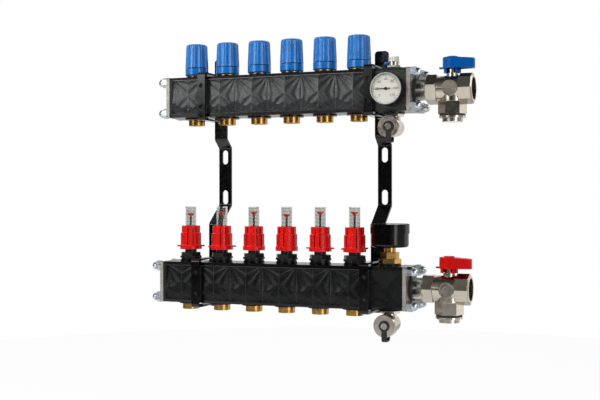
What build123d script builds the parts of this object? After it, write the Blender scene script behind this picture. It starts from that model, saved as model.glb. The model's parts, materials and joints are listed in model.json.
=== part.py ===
from build123d import *
from math import atan2, cos, degrees, radians
import os

# Six-outlet heating manifold: two square plastic bars, one above the other, on two wall brackets.
# X runs along the bars to the ball valves, Y runs into the wall, Z is up.
# The origin is on the wall face, midway between the two fixing slots of the left bracket.

# Bars and their modules
outlet_count = 6
outlet_pitch = 50.0
end_module_length = 50.0
bar_size = 58.0
bar_chamfer = 4.0
socket_wall = 5.0
socket_step = 3.0
socket_depth = 6.0
spigot_length = 5.5
spigot_gap = 0.2
seal_groove_depth = 1.6
seal_groove_width = 2.6
seal_gap = 0.1
blank_end_length = 5.0
boss_height = 2.5
top_boss_r = 15.0
bottom_boss_r = 17.0
port_r = 12.0
port_gap = 0.2
service_port_r = 8.0
shank_recess = 1.0

# Relief on the front of each outlet module
relief_border = 5.0
dish_rim_r = 34.0
dish_depth = 1.9
dish_centre_z = 26.0
facet_edge_z = -8.0
facet_tip_z = -19.0
facet_tilt = 7.5
relief_limit = 5.0
end_panel_depth = 1.2
end_panel_tip = 0.2

# Places of the bars and the brackets
bar_spacing = 266.0
upper_bar_z = 115.0
bracket_inset = 1.0

# Clamping plates, tie rods and cap nuts
plate_length = 5.0
plate_corner_r = 2.0
rod_inset = 6.6
rod_r = 4.0
rod_gap = 0.2
rod_end = 10.5
nut_flats = 13.0
nut_hex_height = 7.5
nut_height = 15.0
nut_dome_r = 6.0
nut_edge = 0.7

# Outlet nipples
nipple_r = 12.0
nipple_bore_r = 8.5
nipple_reach = 8.5
nipple_collar_r = 15.0
nipple_collar_height = 6.5
nipple_lip = 2.0
nipple_seat_r = 12.6
nipple_cone_r = 10.4
nipple_cone_depth = 4.0

# Return valves under the blue caps
insert_thread_r = 14.5
insert_thread_top = 27.0
insert_depth = 17.0
insert_stem_r = 3.0
insert_disc_r = 8.0
insert_disc_height = 3.0
insert_disc_drop = 48.0
pin_r = 1.5
pin_height = 3.0
ring_base = 3.5
ring_height = 10.8
ring_gap = 0.1
ring_chamfer = 1.5
cap_base = 15.3
cap_height = 34.6
cap_base_r = 16.9
cap_top_r = 15.5
cap_shoulder = 3.0
cap_crown = 3.5
cap_wall = 3.4
cap_gap = 0.3
flute_count = 18
flute_r = 2.6
flute_depth = 0.9

# Flow meters with red collars
meter_depth = 15.0
meter_waist_r = 13.9
meter_waist_height = 2.5
meter_flange_r = 15.6
meter_flange_height = 2.5
meter_hex_flats = 27.0
meter_hex_height = 5.2
neck_r = 8.4
neck_top = 31.0
neck_pilot_r = 6.3
neck_pilot_height = 6.0
collar_base = 17.4
collar_height = 33.8
collar_gap = 0.4
collar_base_r = 15.8
collar_base_height = 5.6
collar_middle_r = 14.8
collar_middle_top = 23.8
collar_top_r = 13.3
collar_step = 1.0
slot_width = 1.3
slot_depth = 2.2
slot_spread = 30.0
slot_base = 5.6
slot_top = 31.6
nub_reach = 4.2
nub_width = 2.2
collar_turns = (24.0, 32.0, -35.0, 80.0, 3.0, 44.0)
tube_r = 7.8
tube_wall = 1.2
tube_top = 79.0
tube_crown = 1.5
float_r = 4.75
float_rim = 1.0
float_cone = 3.9
float_drops = (9.6, 7.4, 7.0, 10.2, 6.4, 6.8)
float_travel = 14.0
stem_r = 1.5
stem_gap = 0.5
baffle_r = 9.0
baffle_height = 2.0
baffle_gap = 9.0

# Ball valves
tail_flange_gap = 0.3
tail_flange_length = 5.5
tail_neck_r = 13.4
tail_gap = 0.2
tail_bore_r = 10.5
gasket_r = 17.5
gasket_length = 3.0
tail_hex_flats = 27.0
tail_hex_turn = 30.0
tail_waist_r = 12.8
tail_hex_length = 13.0
tail_head_r = 15.6
tail_head_length = 2.6
union_start = 17.4
union_flats = 35.6
union_length = 14.1
union_lip = 3.0
union_thread_r = 16.9
union_edge = 1.5
union_edge_length = 1.2
union_turns = (16.0, 30.0)
valve_seat_gap = 0.5
valve_neck_r = 16.6
valve_neck_length = 8.5
chamber_r = 18.0
chamber_half = 19.0
port_flats = 38.6
port_length = 18.0
port_end_chamfer = 1.6
port_lap = 8.0
valve_port_r = 15.1
valve_port_depth = 14.0
ball_r = 15.4
ball_bore_r = 10.5
ball_gap = 0.2
foot_neck_r = 17.2
foot_flats = 33.2
foot_top = 17.0
foot_height = 16.5
foot_turn = 12.0
foot_bore_r = 14.6
plug_ring_height = 2.8
plug_ring_r = 17.4
plug_flange_r = 18.0
plug_flange_height = 2.7
plug_stub_r = 13.7
plug_stub_height = 5.0
plug_shank_r = 14.4
plug_shank_height = 11.0
plug_end_gap = 1.0
plug_seal_gap = 0.1
plug_ribs = 16
plug_rib_depth = 0.7
plug_rib_width = 1.6
bonnet_r = 8.0
bonnet_top = 21.0
gland_r = 6.3
gland_top = 26.8
spindle_r = 4.0
spindle_gap = 0.15
spindle_top = 37.0
spindle_end_gap = 0.3
test_boss_r = 10.4
test_boss_reach = 19.5
test_recess_r = 8.7
test_recess_depth = 2.9
test_plug_length = 1.7
test_socket_flats = 8.0
test_socket_depth = 1.2
lever_base = 27.2
lever_height = 15.0
lever_hub_r = 13.0
lever_reach = 30.0
lever_tip_width = 15.0
lever_tip_r = 4.0
lever_wall = 2.4
lever_fall = 2.0
lever_button_r = 6.8
lever_button_height = 1.4
lever_hub_core_r = 6.6
lever_edge_r = 1.0
lever_bore_gap = 0.1
skirt_r = 11.6
skirt_wall = 2.0
skirt_drop = 5.8
skirt_window = 12.0
pointer_reach = 4.4
pointer_width = 6.0
pointer_height = 2.2

# Drain valves
drain_flats = 24.0
drain_hex_turn = 8.0
drain_flange_height = 3.5
drain_neck_r = 9.0
drain_drop = 20.5
drain_barrel_r = 12.0
drain_barrel_back = 11.0
drain_barrel_front = 14.0
drain_thread_r = 13.1
drain_thread_front = 22.0
drain_bore_r = 6.5
drain_neck_bore_r = 5.5
drain_cap_r = 15.2
drain_cap_back = 14.8
drain_cap_front = 28.0
drain_cap_gap = 0.3
drain_cap_land = 0.6
drain_cap_chamfer = 0.8
lug_r = 4.2
lug_proud = 2.3
lug_socket = 4.6
lug_socket_depth = 3.0
eye_groove_depth = 2.0
strap_width = 6.5
strap_thickness = 1.8
strap_eye_r = 7.0
strap_ring_width = 4.0
strap_ring_wall = 1.8
strap_ring_gap = 0.2
strap_ring_lap = 0.6
strap_loop_drop = 20.5
strap_gap = 0.3
strap_bend_r = 4.0

# Air vent
vent_shank_r = 6.0
vent_hex_flats = 16.0
vent_hex_height = 3.8
vent_body_r = 7.6
vent_body_top = 11.0
vent_spigot_r = 4.6
vent_spigot_top = 15.0
vent_cap_r = 7.2
vent_cap_top = 18.4
vent_cap_gap = 0.3
vent_cap_chamfer = 0.8
vent_grooves = 12
vent_groove_r = 0.8
vent_groove_height = 4.6
vent_screw_z = 8.9
vent_screw_head_r = 2.3
vent_screw_head_length = 5.2
vent_screw_r = 1.2
vent_screw_depth = 4.0
vent_screw_gap = 0.1
vent_screw_end_gap = 0.3

# Thermometer on the front of the upper bar
thermo_case_r = 19.7
thermo_rim_r = 21.2
thermo_rim_gap = 0.4
thermo_base = 1.2
thermo_cup = 3.9
thermo_wall = 1.2
thermo_pocket_r = 4.5
thermo_pocket_depth = 14.0
thermo_needle_length = 15.0
thermo_needle_tail = 6.0

# Pressure gauge on top of the lower bar
gauge_washer_height = 0.8
gauge_hex_flats = 27.0
gauge_hex_height = 6.2
gauge_hex_turn = 10.0
gauge_nut_flats = 22.0
gauge_nut_turn = 25.0
gauge_nut_height = 9.0
gauge_stem_r = 8.0
gauge_stem_height = 6.5
gauge_case_r = 25.5
gauge_case_height = 22.0
gauge_case_corner = 4.0
gauge_floor = 17.0
gauge_bezel_r = 26.6
gauge_bezel_base = 18.4
gauge_bezel_height = 13.0
gauge_wall = 1.8
gauge_lip = 1.2
gauge_bezel_gap = 0.05
gauge_bore_r = 2.5
gauge_pointer_length = 18.0
gauge_pointer_tail = 6.0

# Dial instruments share these
dial_thickness = 0.8
lens_thickness = 1.0
lens_inset = 0.4
dial_gap = 0.2
needle_thickness = 0.6
needle_width = 1.6
needle_tip_width = 0.6
needle_hub_r = 2.2
needle_lift = 0.5
arbor_r = 0.7
arbor_gap = 0.3
arbor_depth = 2.0

# Brackets and clamps
strip_width = 20.0
strip_thickness = 3.0
upper_standoff = 15.0
lower_standoff = 35.0
strip_head = 31.0
strip_tail = 4.5
upper_land_drop = 30.0
upper_bend_length = 12.0
wall_land_bottom = -42.0
lower_bend_length = 27.0
strip_bend_r = 4.0
strip_end_r = 5.0
slot_spacing = 60.0
slot_half_width = 4.5
slot_length = 21.0
clamp_width = 12.0
clamp_thickness = 2.5
clamp_clearance = 3.0
clamp_bend_r = 2.0
clamp_tab_height = 25.0
clamp_tab_end_r = 5.0
clamp_tongue = 1.5
clamp_hole_r = 3.2
clamp_hole_spacing = 30.0
pad_thickness = 5.0
pad_height = 50.0
tongue_gap = 0.3
clamp_screw_height = 17.0
clamp_screw_r = 2.5
clamp_screw_gap = 0.2
clamp_screw_head_r = 4.5
clamp_screw_head_height = 3.0
clamp_screw_head_edge = 1.2
clamp_screw_end = 1.0
clamp_key_flats = 3.0
clamp_key_depth = 1.5
clamp_nut_flats = 8.0
clamp_nut_height = 4.0
clamp_nut_gap = 0.05

# How far shapes of one piece are drawn into each other to join them
overlap = 1.0

# Values worked out from the sizes above
half_bar = bar_size / 2
socket_r = half_bar - socket_wall
channel_r = socket_r - socket_step
tail_flange_r = socket_r - tail_flange_gap
seal_groove_r = socket_r - seal_groove_depth
rod_offset = half_bar - rod_inset
relief_height = bar_size - 2 * relief_border
drain_axis_drop = half_bar + drain_drop
bars_left = -outlet_pitch
outlets_right = bars_left + outlet_count * outlet_pitch
bars_right = outlets_right + end_module_length
end_module_x = outlets_right + end_module_length / 2
blank_left = bars_left - blank_end_length
upper_bar_y = -(upper_standoff + strip_thickness + half_bar)
lower_bar_y = -(lower_standoff + strip_thickness + half_bar)
lower_bar_z = upper_bar_z - bar_spacing
boss_top = half_bar + boss_height
plate_face_x = bars_right + plate_length
bracket_spacing = outlets_right - bracket_inset
clamp_screw_z = half_bar + clamp_screw_height
union_seat_x = plate_face_x + union_start + union_lip + tail_head_length
valve_x = union_seat_x + valve_seat_gap + valve_neck_length + chamber_half
outlet_xs = [outlet_pitch * (i - 0.5) for i in range(outlet_count)]
upper_bar = Pos(0, upper_bar_y, upper_bar_z)
lower_bar = Pos(0, lower_bar_y, lower_bar_z)
bars = (upper_bar, lower_bar)
to_x = Rot(0, 90, 0)
to_front = Rot(90, 0, 0)


def save(name, solids):
    """Write one sub-part, a solid or a list of separate solids."""
    export_step(Compound(solids) if isinstance(solids, list) else solids, f"parts/{name}.step")


def turned(points):
    """A solid turned about Z from (radius, height) points."""
    outline = Polyline(*[(r, 0, z) for r, z in points], close=True)
    return revolve(make_face(outline), Axis.Z)


def rod(radius, low, high):
    """A plain round bar about Z between two heights."""
    return Pos(0, 0, (low + high) / 2) * Cylinder(radius, high - low)


def tube(outer, inner, low, high):
    """A plain ring about Z between two heights."""
    return rod(outer, low, high) - rod(inner, low, high)


def prism(flats, sides, low, high, turn=0.0):
    """A regular prism about Z between two heights, sized across its flats."""
    shape = RegularPolygon(flats / 2, sides, major_radius=False, rotation=turn)
    return Pos(0, 0, low) * extrude(shape, high - low)


def block(x_range, y_range, z_range):
    """A box between three pairs of limits."""
    sizes = [high - low for low, high in (x_range, y_range, z_range)]
    middles = [(high + low) / 2 for low, high in (x_range, y_range, z_range)]
    return Pos(*middles) * Box(*sizes)


def bent_strip(points, radii, thickness, width):
    """A flat strip whose middle line is bent along (y, z) points."""
    line = FilletPolyline(*points, radius=radii)
    sheet = extrude(trace(line, thickness), width / 2, both=True)
    return Plane.YZ.location * sheet


def rod_places():
    return [(y, z) for y in (-rod_offset, rod_offset) for z in (-rod_offset, rod_offset)]


def rod_holes(left, right):
    return [Pos(0, y, z) * to_x * rod(rod_r + rod_gap, left, right) for y, z in rod_places()]


def bar_blank(left, right):
    """A length of the square bar with its long edges chamfered."""
    body = block((left, right), (-half_bar, half_bar), (-half_bar, half_bar))
    return chamfer(body.edges().filter_by(Axis.X), bar_chamfer)


def spigot(face_x, hollow):
    """The round spigot that enters the socket of the next piece, with its seal groove."""
    end = face_x + spigot_length
    middle = face_x + spigot_length / 2
    half_groove = seal_groove_width / 2
    shape = rod(socket_r - spigot_gap, face_x, end)
    shape -= tube(socket_r, seal_groove_r, middle - half_groove, middle + half_groove)
    if hollow:
        shape -= rod(channel_r, face_x, end)
    return to_x * shape


def module(left, right):
    """A bar module with its water channel and inlet socket."""
    body = bar_blank(left, right)
    body -= to_x * rod(channel_r, left, right)
    body -= to_x * rod(socket_r, left, left + socket_depth)
    return body


def boss(x, radius, low, high):
    return Pos(x, 0, 0) * rod(radius, low, high)


def relief(x):
    """What the front relief of one outlet module takes away: two dishes and two slanted facets."""
    half = relief_height / 2
    reach = outlet_pitch / 2
    sphere_r = (dish_rim_r**2 + dish_depth**2) / (2 * dish_depth)
    front = -half_bar - sphere_r + dish_depth
    deep = (-half_bar - relief_limit, -half_bar + relief_limit)
    panel = block((x - reach, x + reach), deep, (-half, half))
    cuts = []
    for side in (-1, 1):
        ball = Pos(x + side * reach, front, dish_centre_z) * Sphere(sphere_r)
        half_panel = panel & block(sorted((x, x + side * reach)), (-bar_size, 0), (-half, half))
        cuts.append(ball & half_panel)
        rise = degrees(atan2(facet_edge_z - facet_tip_z, reach))
        slab = Pos(0, -bar_size / 2, 0) * Box(bar_size * 2, bar_size, bar_size * 2)
        place = Pos(x, -half_bar, facet_tip_z) * Rot(0, -side * rise, 0) * Rot(facet_tilt, 0, 0)
        cuts.append(place * slab & half_panel)
    return cuts


def outlet_module(x):
    """One outlet module with a port on top, a moulded-in nipple seat below and the front relief."""
    left = x - outlet_pitch / 2
    right = x + outlet_pitch / 2
    body = module(left, right) + boss(x, top_boss_r, channel_r, boss_top)
    body += boss(x, bottom_boss_r, -boss_top, -channel_r)
    body -= rod_holes(left, right)
    body -= to_x * rod(channel_r, left, right)
    body -= boss(x, port_r, 0, boss_top)
    seat_low = -boss_top + nipple_lip
    body -= boss(x, nipple_seat_r, -boss_top, seat_low)
    body -= boss(x, nipple_collar_r, seat_low, seat_low + nipple_collar_height)
    body -= boss(x, nipple_bore_r, seat_low, 0)
    for cut in relief(x):
        body -= cut
    return body + spigot(right, True)


def end_module(top_port_r, front_port_r):
    """The last module: service ports above and below, and a seat for the connection on its right."""
    body = module(outlets_right, bars_right)
    body += boss(end_module_x, top_boss_r, channel_r, boss_top)
    body += boss(end_module_x, top_boss_r, -boss_top, -channel_r)
    body -= rod_holes(outlets_right, bars_right)
    body -= to_x * rod(channel_r, outlets_right, bars_right)
    body -= to_x * rod(socket_r, bars_right - socket_depth, bars_right)
    body -= boss(end_module_x, top_port_r, 0, boss_top)
    body -= boss(end_module_x, service_port_r, -boss_top, 0)
    if front_port_r:
        return body - Pos(end_module_x, 0, 0) * to_front * rod(front_port_r, 0, half_bar)
    corner = relief_height / 2
    low = Pos(end_module_x, -half_bar, 0) * to_front * Rectangle(2 * corner, relief_height)
    deepest = Pos(end_module_x, end_panel_depth - half_bar, 0) * to_front
    tip = deepest * Rectangle(end_panel_tip, end_panel_tip)
    return body - loft([low.face(), tip.face()])


def blank_end():
    """The closed end piece that fills the first module's socket."""
    body = bar_blank(blank_left, bars_left) - rod_holes(blank_left, bars_left)
    return body + spigot(bars_left, False)


def module_seal(face_x):
    middle = face_x + spigot_length / 2
    half = seal_groove_width / 2 - seal_gap
    return to_x * tube(socket_r - seal_gap / 2, seal_groove_r + seal_gap / 2, middle - half, middle + half)


def end_plate(left, centre_r):
    """One of the steel plates that clamp the modules together."""
    right = left + plate_length
    body = block((left, right), (-half_bar, half_bar), (-half_bar, half_bar))
    body = fillet(body.edges().filter_by(Axis.X), plate_corner_r)
    body -= rod_holes(left, right)
    if centre_r:
        body -= to_x * rod(centre_r, left, right)
    return body


def cap_nut():
    """A domed nut standing on Z = 0, with a blind hole for the tie rod."""
    corner_r = nut_flats / 2 / cos(radians(30))
    body = prism(nut_flats, 6, 0, nut_hex_height)
    body &= turned([
        (0, 0), (corner_r - nut_edge, 0), (corner_r, nut_edge), (corner_r, nut_hex_height),
        (0, nut_hex_height)])
    body += rod(nut_dome_r, nut_hex_height, nut_height - nut_dome_r)
    dome = Pos(0, 0, nut_height - nut_dome_r) * Sphere(nut_dome_r)
    body += dome & rod(nut_dome_r, nut_height - nut_dome_r, nut_height)
    return body - rod(rod_r + rod_gap / 2, 0, rod_end + rod_gap)


def nipple():
    """A brass outlet nipple with a coned mouth and the collar that the module is moulded round."""
    top = -boss_top + nipple_lip + nipple_collar_height
    shoulder = -boss_top + nipple_lip
    mouth = -boss_top - nipple_reach
    return turned([
        (nipple_bore_r, top), (nipple_collar_r, top), (nipple_collar_r, shoulder), (nipple_seat_r, shoulder),
        (nipple_seat_r, -boss_top), (nipple_r, -boss_top), (nipple_r, mouth), (nipple_cone_r, mouth), (nipple_bore_r, mouth + nipple_cone_depth)])


def valve_insert():
    """The sealed valve cartridge: thread, body, stem across the channel, disc and actuating pin."""
    top = half_bar + insert_thread_top
    disc = top - insert_thread_top - insert_disc_drop
    return turned([
        (0, disc), (insert_disc_r, disc), (insert_disc_r, disc + insert_disc_height),
        (insert_stem_r, disc + insert_disc_height), (insert_stem_r, half_bar - insert_depth),
        (port_r - port_gap, half_bar - insert_depth), (port_r - port_gap, boss_top),
        (insert_thread_r, boss_top), (insert_thread_r, top), (pin_r, top), (pin_r, top + pin_height),
        (0, top + pin_height)])


def cap_ring():
    """The plain blue ring between the cap and the bar."""
    base = half_bar + ring_base
    body = tube(cap_base_r, insert_thread_r + ring_gap, base, base + ring_height)
    rims = body.edges().filter_by(GeomType.CIRCLE).filter_by(lambda e: abs(e.radius - cap_base_r) < 0.01)
    return chamfer(rims.sort_by(Axis.Z)[0], ring_chamfer)


def hand_cap():
    """The fluted blue cap, hollow above the thread that it turns on."""
    base = half_bar + cap_base
    top = base + cap_height
    thread_end = half_bar + insert_thread_top + cap_gap
    bore = insert_thread_r + cap_gap
    inner = cap_top_r - cap_wall
    corner = 0.3 * cap_shoulder
    body = turned([
        (bore, base), (cap_base_r, base), (cap_top_r, top - cap_shoulder),
        (cap_top_r - corner, top - corner), (cap_top_r - cap_shoulder, top), (0, top),
        (0, top - cap_crown), (inner, top - cap_crown), (inner, thread_end + pin_height), (bore, thread_end)])
    lean = degrees(atan2(cap_base_r - cap_top_r, cap_height))
    middle_r = (cap_base_r + cap_top_r) / 2 + flute_r - flute_depth
    cutter = Cylinder(flute_r, cap_height + 2 * cap_shoulder)
    flute = Pos(middle_r, 0, base + cap_height / 2) * Rot(0, -lean, 0) * cutter
    return body - [Rot(0, 0, 360 / flute_count * k) * flute for k in range(flute_count)]


def meter_body():
    """The black flow meter body: shank in the port, flange, hexagon and neck for the sight tube."""
    waist_top = boss_top + meter_waist_height
    flange_top = waist_top + meter_flange_height
    hex_top = flange_top + meter_hex_height
    neck_end = half_bar + neck_top
    bore = stem_r + stem_gap
    body = turned([
        (bore, half_bar - meter_depth), (port_r - port_gap, half_bar - meter_depth),
        (port_r - port_gap, boss_top), (meter_waist_r, boss_top), (meter_waist_r, waist_top),
        (meter_flange_r, waist_top), (meter_flange_r, flange_top), (neck_r, flange_top),
        (neck_r, neck_end), (neck_pilot_r, neck_end), (neck_pilot_r, neck_end + neck_pilot_height),
        (bore, neck_end + neck_pilot_height)])
    return body + (prism(meter_hex_flats, 6, flange_top, hex_top) - rod(bore, flange_top, hex_top))


def sight_tube():
    """The clear tube, closed at the top, that stands on the neck."""
    low = half_bar + neck_top
    top = half_bar + tube_top
    inner = tube_r - tube_wall
    return turned([
        (inner, low), (tube_r, low), (tube_r, top), (0, top), (0, top - tube_crown),
        (inner, top - tube_crown)])


def collar():
    """The red collar, stepped twice, with pairs of narrow slots and two small nubs."""
    base = half_bar + collar_base
    top = base + collar_height
    neck_end = half_bar + neck_top + collar_gap
    body = turned([
        (neck_r + collar_gap, base), (collar_base_r, base), (collar_base_r, base + collar_base_height),
        (collar_middle_r, base + collar_base_height + collar_step),
        (collar_middle_r, base + collar_middle_top - collar_step),
        (collar_top_r, base + collar_middle_top), (collar_top_r, top), (tube_r + collar_gap, top),
        (tube_r + collar_gap, neck_end), (neck_r + collar_gap, neck_end)])
    inner = collar_top_r - slot_depth
    slot = block(
        (inner, collar_base_r + overlap), (-slot_width / 2, slot_width / 2),
        (base + slot_base, base + slot_top))
    angles = [90 * quarter + side * slot_spread / 2 for quarter in range(4) for side in (-1, 1)]
    body -= [Rot(0, 0, angle) * slot for angle in angles]
    nub_z = base + collar_base_height - nub_width / 2
    nub_x = collar_base_r + (nub_reach - overlap) / 2
    nub = Pos(nub_x, 0, nub_z) * Box(nub_reach + overlap, nub_width, nub_width)
    return body + [Rot(0, 0, angle) * nub for angle in (0, 180)]


def meter_float(drop):
    """The red indicator, its stem and the baffle plate in the water."""
    top = half_bar + tube_top - drop
    plate = half_bar - meter_depth - baffle_gap
    return turned([
        (0, top), (float_r, top), (float_r, top - float_rim), (stem_r, top - float_rim - float_cone),
        (stem_r, plate), (baffle_r, plate), (baffle_r, plate - baffle_height), (0, plate - baffle_height)])


def tailpiece():
    """The nipple that passes through the end plate and carries the union nut."""
    flange_left = bars_right - tail_flange_length
    hex_left = plate_face_x + gasket_length
    hex_right = hex_left + tail_hex_length
    head_left = plate_face_x + union_start + union_lip
    bore_end = head_left + tail_head_length
    body = rod(tail_flange_r, flange_left, bars_right) + rod(tail_neck_r, bars_right, hex_left)
    body += prism(tail_hex_flats, 6, hex_left, hex_right, tail_hex_turn)
    body += rod(tail_waist_r, hex_right, head_left)
    body += rod(tail_head_r, head_left, bore_end)
    return to_x * (body - rod(tail_bore_r, flange_left, bore_end))


def plate_gasket():
    return to_x * tube(gasket_r, tail_neck_r + tail_gap, plate_face_x, plate_face_x + gasket_length)


def union_nut(turn):
    """The union nut that pulls the valve onto the tailpiece."""
    left = plate_face_x + union_start
    right = left + union_length
    body = prism(union_flats, 6, left, right, turn)
    corner_r = union_flats / 2 / cos(radians(30))
    body &= turned([
        (0, left), (corner_r - union_edge, left), (corner_r, left + union_edge_length),
        (corner_r, right - union_edge_length), (corner_r - union_edge, right), (0, right)])
    body -= rod(tail_neck_r, left, left + union_lip)
    return to_x * (body - rod(union_thread_r, left + union_lip, right))


def valve_body():
    """The ball valve body with three ports, a bonnet for the spindle and a test point in front."""
    neck_left = -chamber_half - valve_neck_length
    port_left = chamber_half - port_lap
    port_right = port_left + port_length
    foot_low = -foot_top - foot_height
    run = rod(valve_neck_r, neck_left, -chamber_half) + rod(chamber_r, -chamber_half, port_left)
    run += prism(port_flats, 8, port_left, port_right)
    run = to_x * run
    rim = run.faces().sort_by(Axis.X)[-1].edges()
    run = chamfer(rim, port_end_chamfer)
    body = run + rod(foot_neck_r, -foot_top, 0) + prism(foot_flats, 6, foot_low, -foot_top, foot_turn)
    body += rod(bonnet_r, 0, bonnet_top) + rod(gland_r, bonnet_top, gland_top)
    body += to_front * rod(test_boss_r, 0, test_boss_reach)
    body -= to_x * rod(ball_bore_r, neck_left, port_right)
    body -= to_x * rod(valve_port_r, port_right - valve_port_depth, port_right)
    body -= Sphere(ball_r + ball_gap)
    body -= rod(foot_bore_r, foot_low, foot_low + plug_shank_height + plug_end_gap)
    body -= rod(ball_bore_r, foot_low, 0)
    body -= rod(spindle_r + spindle_gap, 0, gland_top)
    body -= to_front * rod(test_recess_r, test_boss_reach - test_recess_depth, test_boss_reach)
    return body


def valve_ball():
    """The ball, bored along the bar and downwards, in one piece with its spindle."""
    body = Sphere(ball_r) + rod(spindle_r, 0, spindle_top)
    body -= to_x * rod(ball_bore_r, -ball_r, ball_r)
    return body - rod(ball_bore_r, -ball_r, 0)


def test_plug():
    """The recessed plug in the valve's front port, with a hexagon socket."""
    back = test_boss_reach - test_recess_depth
    face = back + test_plug_length
    body = rod(test_recess_r, back, face)
    body -= prism(test_socket_flats, 6, face - test_socket_depth, face)
    return to_front * body


def foot_plug():
    """The plug in the valve's lower port: shank, flange and a ribbed stub to turn it by."""
    seat = -foot_top - foot_height
    flange_top = seat - plug_ring_height
    flange_low = flange_top - plug_flange_height
    stub_low = flange_low - plug_stub_height
    body = rod(plug_shank_r, flange_top, seat + plug_shank_height)
    body += rod(plug_flange_r, flange_low, flange_top) + rod(plug_stub_r, stub_low, flange_low)
    rib = Pos(plug_stub_r, 0, (stub_low + flange_low) / 2) * Box(
        2 * plug_rib_depth, plug_rib_width, plug_stub_height)
    return body - [Rot(0, 0, 360 / plug_ribs * k) * rib for k in range(plug_ribs)]


def foot_seal():
    seat = -foot_top - foot_height
    return tube(plug_ring_r, plug_shank_r + plug_seal_gap, seat - plug_ring_height, seat)


def lever():
    """The hollow lever with its round skirt, front window, top button and pointer nub."""
    low = lever_base
    top = lever_base + lever_height
    hub = Circle(lever_hub_r)
    tip = RectangleRounded(lever_tip_width, lever_tip_width, lever_tip_r)
    tip = Pos(lever_reach - lever_tip_width / 2, 0) * tip
    outline = make_hull(hub.edges() + tip.edges())
    body = Pos(0, 0, low) * extrude(outline, lever_height)
    inner = offset(outline, -lever_wall)
    body -= Pos(0, 0, low) * extrude(inner, lever_height - lever_wall - lever_fall)
    fall = degrees(atan2(lever_fall, lever_reach))
    slab = Pos(lever_reach, 0, bar_size / 2) * Box(2 * lever_reach, 4 * lever_hub_r, bar_size)
    body -= Pos(0, 0, top) * Rot(0, fall, 0) * slab
    body = fillet(body.faces().sort_by(Axis.Z)[-1].outer_wire().edges(), lever_edge_r)
    body += rod(lever_button_r, top - lever_wall, top + lever_button_height)
    body += rod(lever_hub_core_r, low, top - overlap)
    skirt = tube(skirt_r, skirt_r - skirt_wall, low - skirt_drop, low + lever_height - lever_wall)
    window = block((-skirt_window / 2, skirt_window / 2), (-lever_hub_r, 0), (low - skirt_drop, low))
    body += skirt - window
    body += block(
        (-lever_hub_r - pointer_reach, -lever_hub_r + overlap), (-pointer_width / 2, pointer_width / 2),
        (low, low + pointer_height))
    return body - rod(spindle_r + lever_bore_gap, low, spindle_top + spindle_end_gap)


def drain_body():
    """The drain valve: hexagon flange, neck and a barrel with a hose thread to the front."""
    flange_low = -boss_top - drain_flange_height
    body = prism(drain_flats, 6, flange_low, -boss_top, drain_hex_turn)
    shank_end = -channel_r - shank_recess
    body += rod(service_port_r - port_gap, -boss_top, shank_end)
    body += rod(drain_neck_r, -drain_axis_drop, flange_low)
    barrel = rod(drain_barrel_r, -drain_barrel_back, drain_barrel_front)
    barrel += rod(drain_thread_r, drain_barrel_front, drain_thread_front)
    barrel = Pos(0, 0, -drain_axis_drop) * to_front * barrel
    bore = Pos(0, 0, -drain_axis_drop) * to_front * rod(drain_bore_r, 0, drain_thread_front)
    return body + barrel - bore - rod(drain_neck_bore_r, -drain_axis_drop, shank_end)


def drain_cap():
    """The screwed cap of the drain, with a lug in its face that has a square socket."""
    bore = drain_thread_r + drain_cap_gap
    floor = drain_thread_front + drain_cap_land
    groove = drain_cap_front - eye_groove_depth
    body = rod(drain_cap_r, drain_cap_back, drain_cap_front) - rod(bore, drain_cap_back, floor)
    edge = body.edges().filter_by(GeomType.CIRCLE).sort_by(Axis.Z)[-1]
    body = chamfer(edge, drain_cap_chamfer)
    body -= tube(strap_eye_r + strap_gap, lug_r, groove, drain_cap_front)
    lug_top = drain_cap_front + lug_proud
    body += rod(lug_r, groove, lug_top)
    socket = (-lug_socket / 2, lug_socket / 2)
    body -= block(socket, socket, (lug_top - lug_socket_depth, lug_top))
    return Pos(0, 0, -drain_axis_drop) * to_front * body


def drain_strap():
    """The rubber strap: an eye round the lug, a loop under the cap and a ring round the barrel."""
    front = -drain_cap_front - strap_gap
    eye_back = front + eye_groove_depth
    axis_z = -drain_axis_drop
    loop_z = axis_z - strap_loop_drop
    ring_bore = drain_barrel_r + strap_ring_gap
    ring_r = ring_bore + strap_ring_wall
    half_ring = strap_ring_width / 2
    ring_y = -drain_barrel_front + half_ring + strap_gap
    eye = to_front * tube(strap_eye_r, lug_r + strap_gap, -eye_back, -front + strap_thickness)
    ring = to_front * tube(ring_r, ring_bore, -ring_y - half_ring, -ring_y + half_ring)
    band_y = front - strap_thickness / 2
    band_top = axis_z - lug_r - overlap
    ring_low = axis_z - ring_r + strap_ring_lap
    path = [(band_y, band_top), (band_y, loop_z), (ring_y, loop_z), (ring_y, ring_low)]
    band = bent_strip(path, [strap_bend_r] * 2, strap_thickness, strap_width)
    return Pos(0, 0, axis_z) * (eye + ring) + band


def vent_body():
    """The air vent body with a hexagon, a round head and a spigot for the cap."""
    hex_top = boss_top + vent_hex_height
    body = rod(vent_shank_r - port_gap, channel_r + shank_recess, boss_top)
    body += prism(vent_hex_flats, 6, boss_top, hex_top)
    body += rod(vent_body_r, hex_top, half_bar + vent_body_top)
    body += rod(vent_spigot_r, half_bar + vent_body_top, half_bar + vent_spigot_top)
    bore = Pos(0, 0, half_bar + vent_screw_z) * Rot(0, -90, 0)
    bore_end = vent_body_r - vent_screw_depth - vent_screw_end_gap
    return body - bore * rod(vent_screw_r + vent_screw_gap, bore_end, vent_body_r)


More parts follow.
